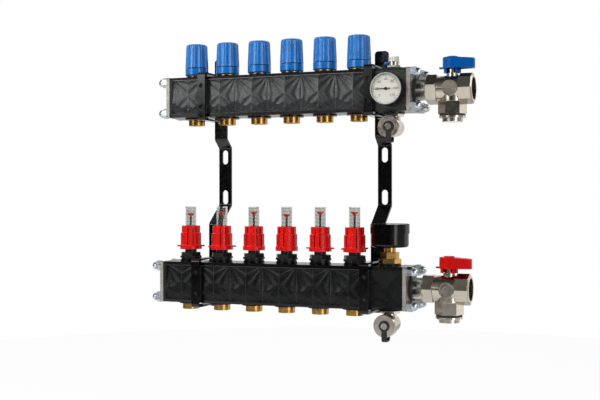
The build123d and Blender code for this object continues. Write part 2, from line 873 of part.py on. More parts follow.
def vent_cap():
    low = half_bar + vent_body_top + vent_cap_gap
    top = half_bar + vent_cap_top
    body = rod(vent_cap_r, low, top)
    body = chamfer(body.edges().filter_by(GeomType.CIRCLE).sort_by(Axis.Z)[-1], vent_cap_chamfer)
    rib_gap = Pos(vent_cap_r, 0, low) * rod(vent_groove_r, 0, vent_groove_height)
    body -= [Rot(0, 0, 360 / vent_grooves * k) * rib_gap for k in range(vent_grooves)]
    return body - rod(vent_spigot_r + vent_cap_gap, low, half_bar + vent_spigot_top + vent_cap_gap)


def vent_screw():
    """The small blue bleed screw in the left side of the vent."""
    head = vent_body_r + vent_cap_gap
    body = rod(vent_screw_head_r, head, head + vent_screw_head_length)
    body += rod(vent_screw_r, vent_body_r - vent_screw_depth, head)
    return Pos(0, 0, half_bar + vent_screw_z) * Rot(0, -90, 0) * body


def needle(length, tail, dial_face, arbor_low):
    """A pointer along +X over a dial face, with a hub and an arbor into the case."""
    low = dial_face + needle_lift
    high = low + needle_thickness
    blade = make_face(Polyline(
        (-tail, -needle_width / 2), (length, -needle_tip_width / 2), (length, needle_tip_width / 2),
        (-tail, needle_width / 2), close=True))
    body = Pos(0, 0, low) * extrude(blade, needle_thickness)
    return body + rod(needle_hub_r, low, high) + rod(arbor_r, arbor_low, high)


def dial(radius, low):
    return tube(radius - dial_gap, arbor_r + arbor_gap, low, low + dial_thickness)


def lens(radius, front):
    return rod(radius - dial_gap, front - lens_inset - lens_thickness, front - lens_inset)


thermo_place = Pos(end_module_x, -half_bar, 0) * to_front
thermo_rim_base = pad_thickness + clamp_thickness + thermo_rim_gap
thermo_floor = thermo_rim_base + thermo_base
thermo_front = thermo_floor + thermo_cup
thermo_dial_face = thermo_floor + dial_thickness
thermo_inner_r = thermo_rim_r - thermo_wall


def thermo_case():
    """The round thermometer case: a back beside the clamp, a wider rim before it, and a pocket."""
    body = rod(thermo_case_r, 0, thermo_rim_base) + rod(thermo_rim_r, thermo_rim_base, thermo_front)
    body -= rod(thermo_inner_r, thermo_floor, thermo_front)
    body += rod(thermo_pocket_r, -thermo_pocket_depth, 0)
    return body - rod(arbor_r + arbor_gap, thermo_floor - arbor_depth, thermo_floor)


gauge_base = boss_top + gauge_washer_height + gauge_hex_height + gauge_nut_height + gauge_stem_height
gauge_place = Pos(end_module_x, 0, gauge_base)
gauge_inner_r = gauge_case_r - gauge_wall
gauge_front = gauge_bezel_base + gauge_bezel_height
gauge_lens_r = gauge_bezel_r - gauge_lip


def gauge_case():
    """The gauge housing, rounded below, with a deep cup for the dial."""
    body = rod(gauge_case_r, 0, gauge_case_height)
    body = fillet(body.edges().filter_by(GeomType.CIRCLE).sort_by(Axis.Z)[0], gauge_case_corner)
    body -= rod(gauge_inner_r, gauge_floor, gauge_case_height)
    return body - rod(arbor_r + arbor_gap, gauge_floor - arbor_depth, gauge_floor)


def gauge_bezel():
    """The ring round the case that holds the lens."""
    lens_back = gauge_front - lens_inset - lens_thickness
    bore = gauge_case_r + gauge_bezel_gap
    return turned([
        (bore, gauge_bezel_base), (gauge_bezel_r, gauge_bezel_base),
        (gauge_bezel_r, gauge_front), (gauge_lens_r, gauge_front), (gauge_lens_r, lens_back),
        (gauge_inner_r, lens_back), (gauge_inner_r, gauge_case_height), (bore, gauge_case_height)])


def gauge_adapter():
    """The brass adapter: shank, wide hexagon, narrow hexagon and stem."""
    wide_low = boss_top + gauge_washer_height
    wide_top = wide_low + gauge_hex_height
    narrow_top = wide_top + gauge_nut_height
    shank_end = channel_r + shank_recess
    body = rod(service_port_r - port_gap, shank_end, wide_low)
    body += prism(gauge_hex_flats, 6, wide_low, wide_top, gauge_hex_turn)
    body += prism(gauge_nut_flats, 6, wide_top, narrow_top, gauge_nut_turn)
    body += rod(gauge_stem_r, narrow_top, gauge_base)
    return body - rod(gauge_bore_r, shank_end, gauge_base)


def bracket_strip():
    """One wall strip: a land for each bar, a land on the wall with two slots, and its bends."""
    top = upper_bar_z + half_bar + strip_head
    bottom = lower_bar_z - half_bar - clamp_clearance - clamp_thickness - strip_tail
    upper_land_bottom = upper_bar_z - half_bar - upper_land_drop
    wall_y = -strip_thickness / 2
    upper_y = wall_y - upper_standoff
    lower_y = wall_y - lower_standoff
    line = [
        (upper_y, top), (upper_y, upper_land_bottom), (wall_y, upper_land_bottom - upper_bend_length),
        (wall_y, wall_land_bottom), (lower_y, wall_land_bottom - lower_bend_length), (lower_y, bottom)]
    body = bent_strip(line, [strip_bend_r] * 4, strip_thickness, strip_width)
    for end in (0, -1):
        face = body.faces().sort_by(Axis.Z)[end]
        body = fillet(face.edges().filter_by(Axis.Y), strip_end_r)
    for z in (-slot_spacing / 2, slot_spacing / 2):
        slot = SlotOverall(slot_length, 2 * slot_half_width, rotation=90)
        body -= Pos(0, 0, z) * to_front * extrude(slot, 4 * strip_thickness, both=True)
    screw_hole = to_front * rod(clamp_screw_r + clamp_screw_gap, 0, bar_size)
    for bar_z in (upper_bar_z, lower_bar_z):
        body -= Pos(0, 0, bar_z + clamp_screw_z) * screw_hole
        low = bar_z - half_bar - clamp_clearance - clamp_thickness - tongue_gap
        high = low + clamp_thickness + 2 * tongue_gap
        half = clamp_width / 2 + tongue_gap
        body -= block((-half, half), (-bar_size, 0), (low, high))
    return body


def clamp():
    """The strap round a bar: a tab for the screw above and a tongue for the slot below."""
    half = clamp_thickness / 2
    tab_y = half_bar - half
    hold = half_bar + clamp_clearance + half
    front = -half_bar - pad_thickness - half
    tongue_end = half_bar + strip_thickness + clamp_tongue
    line = [
        (tab_y, half_bar + clamp_tab_height), (tab_y, hold), (front, hold), (front, -hold),
        (tongue_end, -hold)]
    body = bent_strip(line, [clamp_bend_r + half] * 3, clamp_thickness, clamp_width)
    tab_end = body.faces().sort_by(Axis.Z)[-1]
    body = fillet(tab_end.edges().filter_by(Axis.Y), clamp_tab_end_r)
    for z in (-clamp_hole_spacing / 2, clamp_hole_spacing / 2):
        body -= Pos(0, 0, z) * to_front * rod(clamp_hole_r, half_bar, bar_size)
    return body - Pos(0, 0, clamp_screw_z) * to_front * rod(clamp_screw_r + clamp_screw_gap, -bar_size, 0)


def clamp_pad():
    """The rubber pad between the strap and the front of the bar."""
    half = clamp_width / 2
    return block((-half, half), (-half_bar - pad_thickness, -half_bar), (-pad_height / 2, pad_height / 2))


def clamp_screw():
    """The screw that holds a clamp's tab on the strip, and its nut behind."""
    tab_front = half_bar - clamp_thickness
    back = half_bar + strip_thickness
    head_top = -tab_front + clamp_screw_head_height
    head = rod(clamp_screw_head_r, -tab_front, head_top)
    head = fillet(head.edges().filter_by(GeomType.CIRCLE).sort_by(Axis.Z)[-1], clamp_screw_head_edge)
    head -= prism(clamp_key_flats, 6, head_top - clamp_key_depth, head_top)
    screw = head + rod(clamp_screw_r, -back - clamp_nut_height - clamp_screw_end, -tab_front)
    nut = prism(clamp_nut_flats, 6, -back - clamp_nut_height, -back)
    nut -= rod(clamp_screw_r + clamp_nut_gap, -back - clamp_nut_height, -back)
    place = Pos(0, 0, clamp_screw_z) * to_front
    return [place * screw, place * nut]


def on_outlets(bar, solid):
    return [bar * Pos(x, 0, 0) * solid for x in outlet_xs]


def write_bars():
    for name, bar in (("upper", upper_bar), ("lower", lower_bar)):
        save(f"{name}_modules", [bar * outlet_module(x) for x in outlet_xs])
    save("upper_end_module", upper_bar * end_module(vent_shank_r, thermo_pocket_r + port_gap))
    save("lower_end_module", lower_bar * end_module(service_port_r, 0))
    save("blank_ends", [bar * blank_end() for bar in bars])
    plate_lefts = ((blank_left - plate_length, 0), (bars_right, tail_neck_r + tail_gap))
    save("end_plates", [bar * end_plate(left, hole) for bar in bars for left, hole in plate_lefts])
    rods = []
    nuts = []
    left_face = blank_left - plate_length
    for bar in bars:
        for y, z in rod_places():
            rods.append(bar * Pos(0, y, z) * to_x * rod(rod_r, left_face - rod_end, plate_face_x + rod_end))
            nuts.append(bar * Pos(plate_face_x, y, z) * to_x * cap_nut())
            nuts.append(bar * Pos(left_face, y, z) * Rot(0, -90, 0) * cap_nut())
    save("tie_rods", rods)
    save("cap_nuts", nuts)
    save("outlet_nipples", [piece for bar in bars for piece in on_outlets(bar, nipple())])


def write_seals():
    joints = [bars_left + outlet_pitch * i for i in range(outlet_count + 1)]
    rings = [bar * module_seal(x) for bar in bars for x in joints]
    for bar in bars:
        rings.append(bar * plate_gasket())
        rings.append(bar * Pos(valve_x, 0, 0) * foot_seal())
    washer = tube(top_boss_r, service_port_r, boss_top, boss_top + gauge_washer_height)
    rings.append(lower_bar * Pos(end_module_x, 0, 0) * washer)
    save("seals", rings)


def write_return_valves():
    save("valve_inserts", on_outlets(upper_bar, valve_insert()))
    save("cap_rings", on_outlets(upper_bar, cap_ring()))
    for number, cap in enumerate(on_outlets(upper_bar, hand_cap()), 1):
        save(f"hand_cap_{number}", cap)


def write_flow_meters():
    save("meter_bodies", on_outlets(lower_bar, meter_body()))
    save("sight_tubes", on_outlets(lower_bar, sight_tube()))
    red_collar = collar()
    for index, x in enumerate(outlet_xs):
        place = lower_bar * Pos(x, 0, 0)
        save(f"meter_collar_{index + 1}", place * Rot(0, 0, collar_turns[index]) * red_collar)
        save(f"meter_float_{index + 1}", place * meter_float(float_drops[index]))


def write_ball_valves():
    valve_places = [bar * Pos(valve_x, 0, 0) for bar in bars]
    save("tailpieces", [bar * tailpiece() for bar in bars])
    save("union_nuts", [bar * union_nut(turn) for bar, turn in zip(bars, union_turns)])
    save("valve_bodies", [place * valve_body() for place in valve_places])
    plugs = [place * piece for place in valve_places for piece in (test_plug(), foot_plug())]
    save("valve_plugs", plugs)
    for name, place in zip(("upper", "lower"), valve_places):
        save(f"{name}_valve_ball", place * valve_ball())
        save(f"{name}_valve_lever", place * lever())


def write_drains():
    places = [bar * Pos(end_module_x, 0, 0) for bar in bars]
    save("drain_bodies", [place * drain_body() for place in places])
    save("drain_straps", [place * drain_strap() for place in places])
    for name, place in zip(("upper", "lower"), places):
        save(f"{name}_drain_cap", place * drain_cap())


def write_vent():
    place = upper_bar * Pos(end_module_x, 0, 0)
    save("vent_body", place * vent_body())
    save("vent_cap", place * vent_cap())
    save("vent_screw", place * vent_screw())


def write_instruments():
    thermo = upper_bar * thermo_place
    gauge = lower_bar * gauge_place
    gauge_dial_face = gauge_floor + dial_thickness
    thermo_needle = needle(
        thermo_needle_length, thermo_needle_tail, thermo_dial_face, thermo_floor - arbor_depth + arbor_gap)
    gauge_needle = needle(
        gauge_pointer_length, gauge_pointer_tail, gauge_dial_face, gauge_floor - arbor_depth + arbor_gap)
    save("thermometer_case", thermo * thermo_case())
    save("thermometer_needle", thermo * Rot(0, 0, 180) * thermo_needle)
    save("gauge_case", gauge * gauge_case())
    save("gauge_bezel", gauge * gauge_bezel())
    save("gauge_pointer", gauge * Rot(0, 0, 225) * gauge_needle)
    save("gauge_adapter", lower_bar * Pos(end_module_x, 0, 0) * gauge_adapter())
    save("instrument_dials", [
        thermo * dial(thermo_inner_r, thermo_floor), gauge * dial(gauge_inner_r, gauge_floor)])
    save("instrument_lenses", [
        thermo * lens(thermo_inner_r, thermo_front), gauge * lens(gauge_lens_r, gauge_front)])


def write_brackets():
    bracket_xs = (0, bracket_spacing)
    for name, x in zip(("left", "right"), bracket_xs):
        save(f"{name}_bracket", Pos(x, 0, 0) * bracket_strip())
    places = [bar * Pos(x, 0, 0) for bar in bars for x in bracket_xs]
    save("clamps", [place * clamp() for place in places])
    save("clamp_pads", [place * clamp_pad() for place in places])
    save("clamp_screws", [place * piece for place in places for piece in clamp_screw()])


os.makedirs("parts", exist_ok=True)
write_bars()
write_seals()
write_return_valves()
write_flow_meters()
write_ball_valves()
write_drains()
write_vent()
write_instruments()
write_brackets()
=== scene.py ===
import json
import math

import bpy
from mathutils import Matrix, Vector

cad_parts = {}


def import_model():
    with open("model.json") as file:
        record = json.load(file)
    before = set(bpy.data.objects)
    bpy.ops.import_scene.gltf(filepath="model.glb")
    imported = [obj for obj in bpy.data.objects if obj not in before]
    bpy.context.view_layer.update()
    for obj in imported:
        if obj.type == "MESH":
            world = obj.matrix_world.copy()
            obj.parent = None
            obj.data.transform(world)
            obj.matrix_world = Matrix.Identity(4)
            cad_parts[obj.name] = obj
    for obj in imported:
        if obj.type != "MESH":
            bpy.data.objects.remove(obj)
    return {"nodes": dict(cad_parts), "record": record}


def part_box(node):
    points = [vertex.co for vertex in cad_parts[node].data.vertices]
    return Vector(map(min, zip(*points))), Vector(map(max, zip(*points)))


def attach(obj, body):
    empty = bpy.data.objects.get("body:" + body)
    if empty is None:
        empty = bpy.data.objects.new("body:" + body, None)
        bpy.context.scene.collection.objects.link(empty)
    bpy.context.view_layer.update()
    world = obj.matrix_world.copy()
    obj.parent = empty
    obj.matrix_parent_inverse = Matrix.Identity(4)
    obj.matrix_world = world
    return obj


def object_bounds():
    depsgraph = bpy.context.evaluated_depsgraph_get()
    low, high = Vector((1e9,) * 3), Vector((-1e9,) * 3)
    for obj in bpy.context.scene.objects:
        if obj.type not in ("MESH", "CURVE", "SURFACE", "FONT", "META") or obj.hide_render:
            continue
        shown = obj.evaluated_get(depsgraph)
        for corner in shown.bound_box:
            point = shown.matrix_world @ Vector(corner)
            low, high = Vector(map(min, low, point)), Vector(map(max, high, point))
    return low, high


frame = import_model()
cad_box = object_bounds()
nodes = frame["nodes"]

# The photograph's view
CAMERA_PLACE = (0.655, -1.3924, -0.0263)
CAMERA_YAW = math.radians(21.045)
CAMERA_PITCH = math.radians(-0.294)
CAMERA_ROLL = math.radians(-0.06)
FOCAL_PIXELS = 1018.4
IMAGE_WIDTH = 600
SENSOR_MM = 36.0

# Stage
FLOOR_DROP = 0.16
FLOOR_RADIUS = 1.3
FLOOR_SIDES = 96
FLOOR_WHITE = 0.86
FLOOR_PATCHES = (3.0, 0.98)
FLOOR_ROUGH = 0.9
# How much of the floor that the camera sees is an even white, not what the lamps give it
FLOOR_SHARE = 0.95
WORLD_FILL = 0.18
BEHIND_REFLECTION = 0.9
BEHIND_BLEND = (0.3, 0.7)
# Lamps: name, place, width, height and watts
LAMPS = (
    ("left_box", (-0.75, -1.25, 0.75), 0.5, 0.9, 16),
    ("right_box", (1.5, -1.2, 0.8), 0.5, 0.9, 14),
    ("top_box", (-0.3, -0.25, 1.2), 1.0, 0.5, 12))
# What glossy surfaces see in front: stops of brightness, from straight below to straight above
FRONT_REFLECTION = (
    (0.0, 0.3), (0.34, 0.1), (0.38, 0.7), (0.43, 0.7), (0.45, 0.03),
    (0.6, 0.03), (0.75, 0.1), (0.85, 0.06), (1.0, 0.03))
# Two light boxes that glossy surfaces see: stops from left to right, and stops from below to above
LEFT_BOX = (
    ((0.0, 0.4), (0.15, 0.8), (0.2, 5.5), (0.3, 5.5), (0.34, 1.2), (0.42, 0.1), (1.0, 0.0)),
    ((0.0, 0.0), (0.535, 0.0), (0.55, 0.03), (0.561, 1.0),
     (0.625, 1.0), (0.66, 0.25), (0.8, 0.15), (1.0, 0.0)))
RIGHT_BOX = (
    ((0.0, 0.0), (0.6, 0.0), (0.82, 0.3), (0.85, 3.2), (0.91, 3.2), (0.94, 0.5), (1.0, 0.3)),
    ((0.0, 0.0), (0.3, 0.1), (0.36, 1.0), (0.8, 1.0), (0.85, 0.1), (1.0, 0.0)))

# Finishes: noise scales, the spread of lighter specks on edges that are partly wear and partly painted
# highlight, the turn that counts as an edge, coat and clear gloss
WEAR_AND_SHEEN_SPECKS = 260.0
WEAR_AND_SHEEN_SPREAD = (0.42, 0.62)
GLOSS_CLOUDS = 140.0
EDGE_TURN = (0.82, 0.995)
COAT_ROUGH = 0.12
HAZE_CLOUDS = 90.0
HAZE_DARKER = 0.96
CLEAR_IOR = 1.46
FLOAT_STEM = (0.012,) * 3
# Painted shade in the collars' slots
SLOT_SHADE = (0.03, 0.002, 0.002)
# Painted shade on the valve inserts, in the gap under the caps
INSERT_GAP_SHADE = (0.01,) * 3

# Nodes whose finish differs from that of their material slot
FINISHES = {
    "upper_valve_lever": "blue_lever",
    "lower_valve_lever": "red_lever",
    "upper_modules": "upper_panels",
    "lower_modules": "lower_panels",
    "thermometer_case": "thermometer_rim",
    "gauge_case": "gauge_plastic",
    "sight_tubes": "marked_tube"}

# Front panels of the bars: the seams and the upper edge carry a painted highlight, and the borders above and
# below carry painted shade
OUTLET_PITCH = 0.05
PANEL_HALF = 0.024
PANEL_FADE = 0.0004
RIB_CENTRE = 0.026
RIB_COUNT = 14.0
RIB_DEPTH = 0.00012
SEAM_HIGHLIGHT = (0.0001, 0.0006)
TOP_HIGHLIGHT_FADE = 0.0003
TOP_HIGHLIGHT_END = (0.0006, 0.0009)
BORDER_SHADE_EDGE = (0.0002, 0.0008)
FACING_FRONT = (-0.95, -0.85)

# Flow meters: marked tubes, slotted collars, and floats with a red head on a dark stem
MARK_PITCH = 0.005
MARK_LINE = (0.0001, 0.0003)
COLLAR_SKIN_R = 0.0131
COLLAR_FOOT_R = 0.0157
COLLAR_FADE = 0.0003
EDGE_ON = (0.5, 0.6)
COLLARS = [f"meter_collar_{i}" for i in range(1, 7)]
FLOATS = [f"meter_float_{i}" for i in range(1, 7)]
FLOAT_HEAD = 0.0052
TONE_FADE = 0.0001
INSERT_BRASS = 0.001

# Dials
THERMO_PRINT_R = 0.86
GAUGE_PRINT_R = 0.84
THERMO_TICK = 0.00045
GAUGE_TICK = 0.0004
DIAL_START = 225.0
DIAL_SWEEP = 270.0
RIM_EDGE = (0.0022, 0.0024)
NEEDLE_TO_FACE = 0.0011
MAIN_TICK = 0.13
SMALL_TICK = 0.07
MAIN_TICK_WIDTH = 1.5
FIGURE_REACH = 0.7
FIGURE_SIZE = 0.0048
PRINT_LIFT = 0.00008
PRINT_DEPTH = 0.00004


def node_tree(material):
    material.use_nodes = True
    tree = material.node_tree
    return tree, tree.nodes["Principled BSDF"]


def add(tree, kind, **values):
    node = tree.nodes.new(kind)
    for name, value in values.items():
        setattr(node, name, value)
    return node


def noise(tree, scale, detail=4.0, stretch=(1, 1, 1)):
    """Noise in the object's own metres, finer along one axis where the surface is brushed."""
    coords = add(tree, "ShaderNodeTexCoord")
    mapping = add(tree, "ShaderNodeMapping")
    mapping.inputs["Scale"].default_value = stretch
    texture = add(tree, "ShaderNodeTexNoise")
    texture.inputs["Scale"].default_value = scale
    texture.inputs["Detail"].default_value = detail
    tree.links.new(coords.outputs["Object"], mapping.inputs["Vector"])
    tree.links.new(mapping.outputs["Vector"], texture.inputs["Vector"])
    return texture.outputs["Fac"]


def mapped(tree, value, low, high, start=0.3, end=0.7):
    """A value that runs from start to end, brought to run from low to high."""
    node = add(tree, "ShaderNodeMapRange")
    node.inputs["From Min"].default_value = start
    node.inputs["From Max"].default_value = end
    node.inputs["To Min"].default_value = low
    node.inputs["To Max"].default_value = high
    tree.links.new(value, node.inputs["Value"])
    return node.outputs["Result"]


def mixed(tree, factor, first, second):
    """A colour between two, each a colour or the output of another node."""
    node = add(tree, "ShaderNodeMix", data_type="RGBA")
    tree.links.new(factor, node.inputs["Factor"])
    for socket, colour in ((node.inputs[6], first), (node.inputs[7], second)):
        if isinstance(colour, bpy.types.NodeSocket):
            tree.links.new(colour, socket)
        else:
            socket.default_value = (*colour, 1)
    return node.outputs[2]


def edge_mask(tree, radius):
    """Near 1 along sharp edges and 0 on flat faces; also the rounded normal itself."""
    bevel = add(tree, "ShaderNodeBevel", samples=4)
    bevel.inputs["Radius"].default_value = radius
    geometry = add(tree, "ShaderNodeNewGeometry")
    dot = add(tree, "ShaderNodeVectorMath", operation="DOT_PRODUCT")
    tree.links.new(bevel.outputs["Normal"], dot.inputs[0])
    tree.links.new(geometry.outputs["True Normal"], dot.inputs[1])
    return mapped(tree, dot.outputs["Value"], 1.0, 0.0, *EDGE_TURN), bevel.outputs["Normal"]


def surface(name, colour, rough, metal=0.0, shade=0.12, spread=0.08, grain=900.0, bump=0.12,
            bump_depth=0.00012, wear_and_sheen=None, edge=0.0004, stretch=(1, 1, 1), cloud=60.0, coat=0.0, shine=0.5):
    """A finished surface: cloudy colour, uneven gloss, fine grain, and softened edges that may carry lighter
    specks, partly wear and partly a painted highlight.
    """
    material = bpy.data.materials.new(name)
    tree, shader = node_tree(material)
    clouds = noise(tree, cloud, stretch=stretch)
    dark = [c * (1 - shade) for c in colour]
    light = [min(1.0, c * (1 + shade)) for c in colour]
    base = mixed(tree, mapped(tree, clouds, 0.0, 1.0), dark, light)
    mask, normal = edge_mask(tree, edge)
    # Lighter specks along edges: partly wear, partly a painted highlight on the edges
    if wear_and_sheen:
        speckle = mapped(tree, noise(tree, WEAR_AND_SHEEN_SPECKS), 0.0, 1.0, *WEAR_AND_SHEEN_SPREAD)
        wear_and_sheen_mask = add(tree, "ShaderNodeMath", operation="MULTIPLY")
        tree.links.new(mask, wear_and_sheen_mask.inputs[0])
        tree.links.new(speckle, wear_and_sheen_mask.inputs[1])
        base = mixed(tree, wear_and_sheen_mask.outputs["Value"], base, wear_and_sheen)
    tree.links.new(base, shader.inputs["Base Color"])
    gloss = mapped(tree, noise(tree, GLOSS_CLOUDS, stretch=stretch), rough - spread, rough + spread)
    tree.links.new(gloss, shader.inputs["Roughness"])
    shader.inputs["Metallic"].default_value = metal
    shader.inputs["Specular IOR Level"].default_value = shine
    shader.inputs["Coat Weight"].default_value = coat
    shader.inputs["Coat Roughness"].default_value = COAT_ROUGH
    relief = add(tree, "ShaderNodeBump")
    relief.inputs["Strength"].default_value = bump
    relief.inputs["Distance"].default_value = bump_depth
    tree.links.new(noise(tree, grain, stretch=stretch), relief.inputs["Height"])
    tree.links.new(normal, relief.inputs["Normal"])
    tree.links.new(relief.outputs["Normal"], shader.inputs["Normal"])
    return material


def clear(name, colour, rough):
    """Clear plastic that lets light through to what is inside."""
    material = bpy.data.materials.new(name)
    tree, shader = node_tree(material)
    clouds = mapped(tree, noise(tree, HAZE_CLOUDS), 0.0, 1.0)
    haze = mixed(tree, clouds, colour, [c * HAZE_DARKER for c in colour])
    tree.links.new(haze, shader.inputs["Base Color"])
    tree.links.new(mapped(tree, noise(tree, 200.0), rough, rough + 0.05), shader.inputs["Roughness"])
    shader.inputs["Transmission Weight"].default_value = 1.0
    shader.inputs["IOR"].default_value = CLEAR_IOR
    relief = add(tree, "ShaderNodeBump")
    relief.inputs["Strength"].default_value = 0.05
    relief.inputs["Distance"].default_value = 0.0001
    tree.links.new(noise(tree, 120.0), relief.inputs["Height"])
    tree.links.new(relief.outputs["Normal"], shader.inputs["Normal"])
    path = add(tree, "ShaderNodeLightPath")
    through = add(tree, "ShaderNodeBsdfTransparent")
    blend = add(tree, "ShaderNodeMixShader")
    output = tree.nodes["Material Output"]
    tree.links.new(path.outputs["Is Shadow Ray"], blend.inputs["Fac"])
    tree.links.new(shader.outputs["BSDF"], blend.inputs[1])
    tree.links.new(through.outputs["BSDF"], blend.inputs[2])
    tree.links.new(blend.outputs["Shader"], output.inputs["Surface"])
    return material


def materials():
    warm_wear_and_sheen = (0.75, 0.7, 0.62)
    return {
        # Both bars are one plastic: the upper is painted lighter and the lower darker, as painted light and
        # shade
        "upper_bar_plastic": surface(
            "bar_plastic_painted_lighter", (0.015, 0.016, 0.017), 0.27, shade=0.35, spread=0.06, bump=0.25,
            wear_and_sheen=(0.09, 0.09, 0.09), cloud=45.0, grain=1400.0, shine=0.5),
        "lower_bar_plastic": surface(
            "bar_plastic_painted_darker", (0.004, 0.0042, 0.0044), 0.25, shade=0.4, spread=0.06, bump=0.25,
            wear_and_sheen=(0.06, 0.06, 0.06), cloud=45.0, grain=1400.0, shine=0.22),
        "black_plastic": surface(
            "black_plastic", (0.007, 0.007, 0.0075), 0.36, shade=0.3, wear_and_sheen=(0.04, 0.04, 0.04), shine=0.3),
        "gauge_plastic": surface(
            "gloss_black_plastic", (0.0015, 0.0015, 0.002), 0.12, shade=0.3, spread=0.04, shine=0.35),
        "blue_plastic": surface(
            "blue_plastic", (0.002, 0.14, 0.46), 0.2, shade=0.1, bump=0.05, wear_and_sheen=(0.03, 0.25, 0.6), coat=0.3),
        "blue_lever": surface(
            "blue_lever_plastic", (0.001, 0.078, 0.31), 0.3, shade=0.1, bump=0.05,
            wear_and_sheen=(0.03, 0.2, 0.5), shine=0.15),
        "red_lever": surface(
            "red_lever_plastic", (0.53, 0.004, 0.0035), 0.32, shade=0.08, bump=0.08,
            wear_and_sheen=(0.85, 0.06, 0.05), shine=0.15),
        "red_plastic": surface(
            "red_plastic", (0.64, 0.005, 0.004), 0.28, shade=0.08, bump=0.08,
            wear_and_sheen=(0.9, 0.1, 0.08), shine=0.35),
        "white_plastic": surface("white_plastic", (0.78, 0.78, 0.76), 0.4, shade=0.05),
        "dial_white": surface("dial_paint", (0.7, 0.69, 0.66), 0.5, shade=0.03, bump=0.03),
        "clear_plastic": clear("clear_plastic", (0.66, 0.66, 0.63), 0.05),
        "needle_black": surface("black_paint", (0.012, 0.012, 0.012), 0.45, shade=0.2),
        "steel_plate": surface(
            "plated_steel_sheet", (0.47, 0.44, 0.395), 0.42, 1.0, shade=0.14, grain=500.0, bump=0.2,
            wear_and_sheen=warm_wear_and_sheen, stretch=(1, 1, 6)),
        "steel_strap": surface(
            "black_enamelled_steel", (0.0015, 0.0015, 0.0018), 0.11, shade=0.3, spread=0.03,
            grain=1100.0, bump=0.04, wear_and_sheen=(0.03, 0.03, 0.03), shine=0.5),
        "zinc_steel": surface(
            "bright_zinc", (0.62, 0.68, 0.74), 0.24, 1.0, shade=0.1, cloud=120.0, bump=0.08,
            wear_and_sheen=(0.85, 0.86, 0.88)),
        "brass": surface(
            "turned_brass", (0.52, 0.29, 0.08), 0.22, 1.0, shade=0.12, spread=0.04, grain=700.0, bump=0.04,
            wear_and_sheen=(0.85, 0.62, 0.3), stretch=(1, 1, 6)),
        "nickel_brass": surface(
            "nickel_plated_brass", (0.6, 0.545, 0.465), 0.17, 1.0, shade=0.06, spread=0.05,
            grain=700.0, bump=0.05, wear_and_sheen=(0.82, 0.77, 0.68)),
        "rubber": surface("black_rubber", (0.012, 0.012, 0.012), 0.6, shade=0.3, bump=0.3),
    }


def sums(tree, operation, *values):
    """One step of arithmetic on numbers or on the outputs of other nodes."""
    step = add(tree, "ShaderNodeMath", operation=operation)
    for socket, value in zip(step.inputs, values):
        if isinstance(value, float):
            socket.default_value = value
        else:
            tree.links.new(value, socket)
    return step.outputs["Value"]


def axes(tree, kind, output):
    """The three parts of a point or a direction."""
    source = add(tree, kind)
    parts = add(tree, "ShaderNodeSeparateXYZ")
    tree.links.new(source.outputs[output], parts.inputs["Vector"])
    return parts.outputs["X"], parts.outputs["Y"], parts.outputs["Z"]


def panelled(plastic, node, line, border_shade_colour):
    """A bar's moulded front panels: fans of shallow ribs, seams with a painted highlight, a painted highlight
    along the upper edge, and borders darkened with painted shade.
    """
    material = plastic.copy()
    material.name = node + "_front"
    tree, shader = node_tree(material)
    low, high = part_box(node)
    first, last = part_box("hand_cap_1")
    x, _, z = axes(tree, "ShaderNodeTexCoord", "Object")
    facing = mapped(tree, axes(tree, "ShaderNodeNewGeometry", "True Normal")[1], 1.0, 0.0, *FACING_FRONT)
    along = sums(tree, "SUBTRACT", x, (first[0] + last[0] + OUTLET_PITCH) / 2)
    rise = sums(tree, "SUBTRACT", z, (low[2] + high[2]) / 2)
    height = sums(tree, "ABSOLUTE", rise)
    inside = mapped(tree, height, 1.0, 0.0, PANEL_HALF - PANEL_FADE, PANEL_HALF)
    panel = sums(tree, "MULTIPLY", facing, inside)
    across = sums(tree, "PINGPONG", along, OUTLET_PITCH / 2)
    angle = sums(tree, "ARCTAN2", sums(tree, "SUBTRACT", RIB_CENTRE, height), across)
    ribs = sums(tree, "MULTIPLY", sums(tree, "SINE", sums(tree, "MULTIPLY", angle, RIB_COUNT)), panel)
    grain = shader.inputs["Normal"].links[0].from_node
    relief = add(tree, "ShaderNodeBump")
    relief.inputs["Strength"].default_value = 1.0
    relief.inputs["Distance"].default_value = RIB_DEPTH
    tree.links.new(ribs, relief.inputs["Height"])
    tree.links.new(grain.inputs["Normal"].links[0].from_socket, relief.inputs["Normal"])
    tree.links.new(relief.outputs["Normal"], grain.inputs["Normal"])
    # The seams are painted in the light line colour as a painted highlight
    fold = sums(tree, "PINGPONG", along, OUTLET_PITCH / 4)
    seam_highlight = sums(tree, "MULTIPLY", mapped(tree, fold, 0.5, 0.0, *SEAM_HIGHLIGHT), panel)
    # A painted highlight along the upper edge of each front panel
    top_highlight_rise = mapped(tree, rise, 0.0, 1.0, PANEL_HALF - TOP_HIGHLIGHT_FADE, PANEL_HALF)
    above = mapped(tree, rise, 1.0, 0.0, *[PANEL_HALF + end for end in TOP_HIGHLIGHT_END])
    edge = sums(tree, "MULTIPLY", top_highlight_rise, above)
    base = shader.inputs["Base Color"].links[0].from_socket
    # Painted shade on the borders above and below the panels
    border_shade = mapped(tree, height, 0.0, 1.0, *[PANEL_HALF + end for end in BORDER_SHADE_EDGE])
    base = mixed(tree, border_shade, base, border_shade_colour)
    # Where the seams and the upper edge carry the painted highlight
    light = sums(tree, "MAXIMUM", seam_highlight, sums(tree, "MULTIPLY", edge, facing))
    tree.links.new(mixed(tree, light, base, line), shader.inputs["Base Color"])
    return material


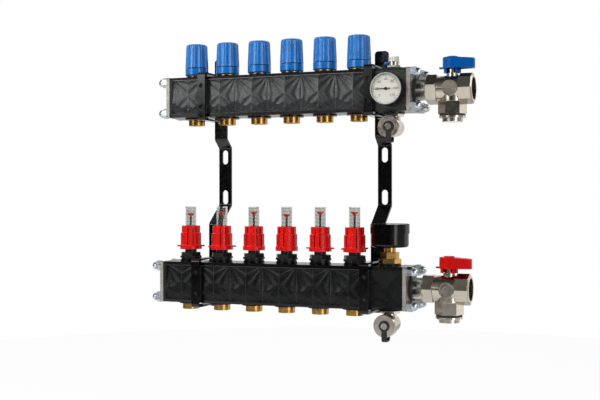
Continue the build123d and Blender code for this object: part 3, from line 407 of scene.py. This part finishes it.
def marked(plastic, line):
    """Clear plastic with a fine scale of lines round it."""
    material = plastic.copy()
    material.name = "sight_tube_scale"
    tree, shader = node_tree(material)
    height = sums(tree, "PINGPONG", axes(tree, "ShaderNodeTexCoord", "Object")[2], MARK_PITCH / 2)
    base = shader.inputs["Base Color"].links[0].from_socket
    mark = mapped(tree, height, 0.7, 0.0, *MARK_LINE)
    tree.links.new(mixed(tree, mark, base, line), shader.inputs["Base Color"])
    return material


def rimmed(plastic, bright):
    """Black, with the front ring of the case bright."""
    material = plastic.copy()
    material.name = "thermometer_case_rim"
    tree, shader = node_tree(material)
    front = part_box("thermometer_case")[0][1]
    y = axes(tree, "ShaderNodeTexCoord", "Object")[1]
    base = shader.inputs["Base Color"].links[0].from_socket
    ring = mapped(tree, y, 1.0, 0.0, *[front + end for end in RIM_EDGE])
    tree.links.new(mixed(tree, ring, base, bright), shader.inputs["Base Color"])
    return material


def slotted(name, centre, finish, dark):
    """Painted shade in a collar's slots: on upright faces nearer the axis than its skin, or edge-on to the
    axis.
    """
    material = finish.copy()
    material.name = name
    tree, shader = node_tree(material)
    x, y, _ = axes(tree, "ShaderNodeTexCoord", "Object")
    across = sums(tree, "SUBTRACT", x, centre[0])
    along = sums(tree, "SUBTRACT", y, centre[1])
    squares = sums(tree, "MULTIPLY_ADD", across, across, sums(tree, "MULTIPLY", along, along))
    reach = sums(tree, "SQRT", squares)
    side, front, up = axes(tree, "ShaderNodeTexCoord", "Normal")
    outward = sums(tree, "MULTIPLY_ADD", side, across, sums(tree, "MULTIPLY", front, along))
    turned_out = sums(tree, "ABSOLUTE", sums(tree, "DIVIDE", outward, reach))
    inner = mapped(tree, reach, 1.0, 0.0, COLLAR_SKIN_R - COLLAR_FADE, COLLAR_SKIN_R)
    edge_on = mapped(tree, turned_out, 1.0, 0.0, *EDGE_ON)
    within = mapped(tree, reach, 1.0, 0.0, COLLAR_FOOT_R - COLLAR_FADE, COLLAR_FOOT_R)
    # The slots' walls and floors are darkened as painted shade
    in_slot_shade = sums(tree, "MAXIMUM", inner, sums(tree, "MULTIPLY", edge_on, within))
    upright = mapped(tree, sums(tree, "ABSOLUTE", up), 1.0, 0.0, *EDGE_ON)
    inside = sums(tree, "MULTIPLY", in_slot_shade, upright)
    colour = shader.inputs["Base Color"].links[0].from_socket
    tree.links.new(mixed(tree, inside, colour, dark), shader.inputs["Base Color"])
    return material


def two_tone(name, level, finish, dark, dark_above=False):
    """A finish on one side of a height of the piece's own frame and dark on the other: the floats' own dark
    stems, and painted shade on the valve inserts in the gap under the caps.
    """
    material = finish.copy()
    material.name = name
    tree, shader = node_tree(material)
    colour = shader.inputs["Base Color"].links[0].from_socket
    z = axes(tree, "ShaderNodeTexCoord", "Object")[2]
    upper = mapped(tree, z, 0.0, 1.0, level - TONE_FADE, level + TONE_FADE)
    low, high = (colour, dark) if dark_above else (dark, colour)
    tree.links.new(mixed(tree, upper, low, high), shader.inputs["Base Color"])
    return material


def dress_nodes(palette):
    for entry in frame["record"]["subparts"]:
        mesh = nodes[entry["node"]].data
        mesh.materials.clear()
        mesh.materials.append(palette[entry["material_slot"]])
    for name, finish in FINISHES.items():
        nodes[name].data.materials[0] = palette[finish]
    for name in FLOATS:
        piece = nodes[name]
        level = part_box(name)[1][2] - FLOAT_HEAD - piece.matrix_world.translation.z
        piece.data.materials[0] = two_tone(name + "_colours", level, palette["red_plastic"], FLOAT_STEM)
    for name in COLLARS:
        piece = nodes[name]
        low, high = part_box(name.replace("collar", "float"))
        place = piece.matrix_world.translation
        centre = ((low[0] + high[0]) / 2 - place.x, (low[1] + high[1]) / 2 - place.y)
        # Painted shade in the collars' slots
        piece.data.materials[0] = slotted(name + "_colours", centre, palette["red_plastic"], SLOT_SHADE)
    # The valve inserts are painted dark above the caps' rings: painted shade in the gap under the caps
    under_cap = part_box("cap_rings")[0][2] + INSERT_BRASS
    nodes["valve_inserts"].data.materials[0] = two_tone(
        "valve_insert_gap_shade", under_cap, palette["brass"], INSERT_GAP_SHADE, dark_above=True)


def keep(piece, material, body="manifold"):
    piece.data.materials.clear()
    piece.data.materials.append(material)
    bpy.context.scene.collection.objects.link(piece)
    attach(piece, body)
    return piece


def flat_bar(points, width, turn, radius, length):
    """One printed stroke, turned about the dial's centre."""
    spin = Matrix.Rotation(turn, 4, "Z")
    corners = []
    for z in (0.0, PRINT_DEPTH):
        for x, y in ((0, -0.5), (length, -0.5), (length, 0.5), (0, 0.5)):
            corners.append(spin @ Vector((radius + x, y * width, z)))
    start = len(points[0])
    points[0].extend(corners)
    faces = ((3, 2, 1, 0), (4, 5, 6, 7), (0, 1, 5, 4), (1, 2, 6, 5), (2, 3, 7, 6), (3, 0, 4, 7))
    points[1].extend([tuple(start + i for i in face) for face in faces])


def figure(points, text, size, x, y):
    """One printed number, centred on a point of the dial."""
    curve = bpy.data.curves.new("figure", "FONT")
    curve.body = text
    curve.size = size
    curve.align_x = "CENTER"
    curve.align_y = "CENTER"
    curve.extrude = PRINT_DEPTH / 2
    holder = bpy.data.objects.new("figure", curve)
    mesh = bpy.data.meshes.new_from_object(holder)
    start = len(points[0])
    points[0].extend([v.co + Vector((x, y, PRINT_DEPTH / 2)) for v in mesh.vertices])
    points[1].extend([tuple(start + i for i in face.vertices) for face in mesh.polygons])
    bpy.data.objects.remove(holder)
    bpy.data.curves.remove(curve)
    bpy.data.meshes.remove(mesh)


def printed_scale(name, place, radius, numbers, small, tick_width, palette):
    """The ticks and numbers of a round dial, from 7:30 clockwise to 4:30."""
    points = ([], [])
    steps = (len(numbers) - 1) * small
    for step in range(steps + 1):
        turn = math.radians(DIAL_START - DIAL_SWEEP * step / steps)
        main = step % small == 0
        length = radius * (MAIN_TICK if main else SMALL_TICK)
        flat_bar(points, tick_width * (MAIN_TICK_WIDTH if main else 1.0), turn, radius - length, length)
    for index, text in enumerate(numbers):
        turn = math.radians(DIAL_START - DIAL_SWEEP * index / (len(numbers) - 1))
        reach = radius * FIGURE_REACH
        figure(points, text, FIGURE_SIZE, reach * math.cos(turn), reach * math.sin(turn))
    mesh = bpy.data.meshes.new(name)
    mesh.from_pydata([place @ p for p in points[0]], [], points[1])
    return keep(bpy.data.objects.new(name, mesh), palette["needle_black"])


def dials(palette):
    """Scales on the two dial faces, placed from the needles that turn over them."""
    low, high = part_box("thermometer_case")
    centre = Vector(((low[0] + high[0]) / 2, 0, (low[2] + high[2]) / 2))
    radius = (high[0] - low[0]) / 2
    needle_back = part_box("thermometer_needle")[0][1]
    face = Vector((centre.x, needle_back + NEEDLE_TO_FACE - PRINT_LIFT, centre.z))
    upright = Matrix.Translation(face) @ Matrix.Rotation(math.radians(90), 4, "X")
    printed_scale(
        "thermometer_scale", upright, radius * THERMO_PRINT_R,
        ["0", "20", "40", "60", "80", "100", "120"], 4, THERMO_TICK, palette)
    low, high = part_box("gauge_case")
    radius = (high[0] - low[0]) / 2
    needle_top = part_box("gauge_pointer")[1][2]
    height = needle_top - NEEDLE_TO_FACE + PRINT_LIFT
    level = Matrix.Translation(Vector(((low[0] + high[0]) / 2, (low[1] + high[1]) / 2, height)))
    printed_scale(
        "gauge_scale", level, radius * GAUGE_PRINT_R, ["0", "2", "4", "6", "8", "10"], 8,
        GAUGE_TICK, palette)


def stage():
    """A pale floor well below the object, nearly as white as the backdrop."""
    low, high = cad_box
    centre = ((low[0] + high[0]) / 2, (low[1] + high[1]) / 2)
    ring = [
        (centre[0] + FLOOR_RADIUS * math.cos(2 * math.pi * k / FLOOR_SIDES),
         centre[1] + FLOOR_RADIUS * math.sin(2 * math.pi * k / FLOOR_SIDES), low[2] - FLOOR_DROP)
        for k in range(FLOOR_SIDES)]
    mesh = bpy.data.meshes.new("floor")
    mesh.from_pydata(ring, [], [tuple(range(FLOOR_SIDES))])
    floor = bpy.data.objects.new("floor", mesh)
    bpy.context.scene.collection.objects.link(floor)
    material = bpy.data.materials.new("floor_white")
    tree, shader = node_tree(material)
    scale, darker = FLOOR_PATCHES
    patches = mapped(tree, noise(tree, scale), 0.0, 1.0)
    shade = mixed(tree, patches, (FLOOR_WHITE,) * 3, (FLOOR_WHITE * darker,) * 3)
    tree.links.new(shade, shader.inputs["Base Color"])
    shader.inputs["Roughness"].default_value = FLOOR_ROUGH
    glow = add(tree, "ShaderNodeEmission")
    path = add(tree, "ShaderNodeLightPath")
    share = add(tree, "ShaderNodeMath", operation="MULTIPLY")
    share.inputs[1].default_value = FLOOR_SHARE
    blend = add(tree, "ShaderNodeMixShader")
    tree.links.new(path.outputs["Is Camera Ray"], share.inputs[0])
    tree.links.new(share.outputs["Value"], blend.inputs["Fac"])
    tree.links.new(shader.outputs["BSDF"], blend.inputs[1])
    tree.links.new(glow.outputs["Emission"], blend.inputs[2])
    tree.links.new(blend.outputs["Shader"], tree.nodes["Material Output"].inputs["Surface"])
    mesh.materials.append(material)


def stepped(tree, value, stops):
    """A brightness read from stops along a direction that runs from -1 to 1."""
    ramp = add(tree, "ShaderNodeValToRGB")
    while len(ramp.color_ramp.elements) < len(stops):
        ramp.color_ramp.elements.new(0.5)
    for stop, (place, level) in zip(ramp.color_ramp.elements, stops):
        stop.position = place
        stop.color = (level, level, level, 1)
    tree.links.new(mapped(tree, value, 0.0, 1.0, -1.0, 1.0), ramp.inputs["Fac"])
    return ramp.outputs["Color"]


def world():
    """White for the camera and through clear parts, a dim fill, and light boxes that gloss shows."""
    scene_world = bpy.data.worlds.new("studio")
    bpy.context.scene.world = scene_world
    scene_world.use_nodes = True
    tree = scene_world.node_tree
    background = tree.nodes["Background"]
    background.inputs["Color"].default_value = (1, 1, 1, 1)
    path = add(tree, "ShaderNodeLightPath")
    coords = add(tree, "ShaderNodeTexCoord")
    parts = add(tree, "ShaderNodeSeparateXYZ")
    tree.links.new(coords.outputs["Generated"], parts.inputs["Vector"])
    front = stepped(tree, parts.outputs["Z"], FRONT_REFLECTION)
    for across, height in (LEFT_BOX, RIGHT_BOX):
        box = add(tree, "ShaderNodeMath", operation="MULTIPLY_ADD")
        tree.links.new(stepped(tree, parts.outputs["X"], across), box.inputs[0])
        tree.links.new(stepped(tree, parts.outputs["Z"], height), box.inputs[1])
        tree.links.new(front, box.inputs[2])
        front = box.outputs["Value"]
    beside = add(tree, "ShaderNodeMix", data_type="FLOAT")
    tree.links.new(mapped(tree, parts.outputs["Y"], 0.0, 1.0, *BEHIND_BLEND), beside.inputs["Factor"])
    tree.links.new(front, beside.inputs[2])
    beside.inputs[3].default_value = BEHIND_REFLECTION
    seen = add(tree, "ShaderNodeMath", operation="MAXIMUM")
    tree.links.new(path.outputs["Is Camera Ray"], seen.inputs[0])
    tree.links.new(path.outputs["Is Transmission Ray"], seen.inputs[1])
    fill = add(tree, "ShaderNodeMix", data_type="FLOAT")
    fill.inputs[2].default_value = WORLD_FILL
    tree.links.new(path.outputs["Is Glossy Ray"], fill.inputs["Factor"])
    tree.links.new(beside.outputs[0], fill.inputs[3])
    level = add(tree, "ShaderNodeMix", data_type="FLOAT")
    level.inputs[3].default_value = 1.0
    tree.links.new(seen.outputs["Value"], level.inputs["Factor"])
    tree.links.new(fill.outputs[0], level.inputs[2])
    tree.links.new(level.outputs[0], background.inputs["Strength"])


def lamp(name, place, target, width, height, watts):
    """A soft box turned to a target, which glossy surfaces don't show."""
    data = bpy.data.lights.new(name, "AREA")
    data.shape = "RECTANGLE"
    data.size = width
    data.size_y = height
    data.energy = watts
    piece = bpy.data.objects.new(name, data)
    piece.visible_glossy = False
    piece.location = place
    piece.rotation_euler = (Vector(target) - Vector(place)).to_track_quat("-Z", "Y").to_euler()
    bpy.context.scene.collection.objects.link(piece)


def lights():
    centre = [(a + b) / 2 for a, b in zip(*cad_box)]
    for name, place, width, height, watts in LAMPS:
        lamp(name, place, centre, width, height, watts)


def camera():
    forward = Vector((
        -math.sin(CAMERA_YAW) * math.cos(CAMERA_PITCH), math.cos(CAMERA_YAW) * math.cos(CAMERA_PITCH),
        math.sin(CAMERA_PITCH)))
    level = Vector((math.cos(CAMERA_YAW), math.sin(CAMERA_YAW), 0))
    above = level.cross(forward)
    right = level * math.cos(CAMERA_ROLL) + above * math.sin(CAMERA_ROLL)
    up = above * math.cos(CAMERA_ROLL) - level * math.sin(CAMERA_ROLL)
    data = bpy.data.cameras.new("camera")
    data.sensor_width = SENSOR_MM
    data.lens = FOCAL_PIXELS / IMAGE_WIDTH * SENSOR_MM
    piece = bpy.data.objects.new("camera", data)
    turn = Matrix((right, up, -forward)).transposed().to_4x4()
    piece.matrix_world = Matrix.Translation(CAMERA_PLACE) @ turn
    bpy.context.scene.collection.objects.link(piece)
    bpy.context.scene.camera = piece


bpy.context.scene.view_settings.view_transform = "Standard"
palette = materials()
# Third colour: the painted highlight on seams and upper edges; fourth: the painted shade on the borders; both
# lighter on the upper bar, as painted light
palette["upper_panels"] = panelled(
    palette["upper_bar_plastic"], "upper_modules", (0.11, 0.112, 0.115), (0.002,) * 3)
palette["lower_panels"] = panelled(
    palette["lower_bar_plastic"], "lower_modules", (0.05, 0.051, 0.053), (0.0015,) * 3)
palette["marked_tube"] = marked(palette["clear_plastic"], (0.22, 0.22, 0.21))
palette["thermometer_rim"] = rimmed(palette["black_plastic"], (0.42, 0.43, 0.42))
dress_nodes(palette)
dials(palette)
stage()
world()
lights()
camera()
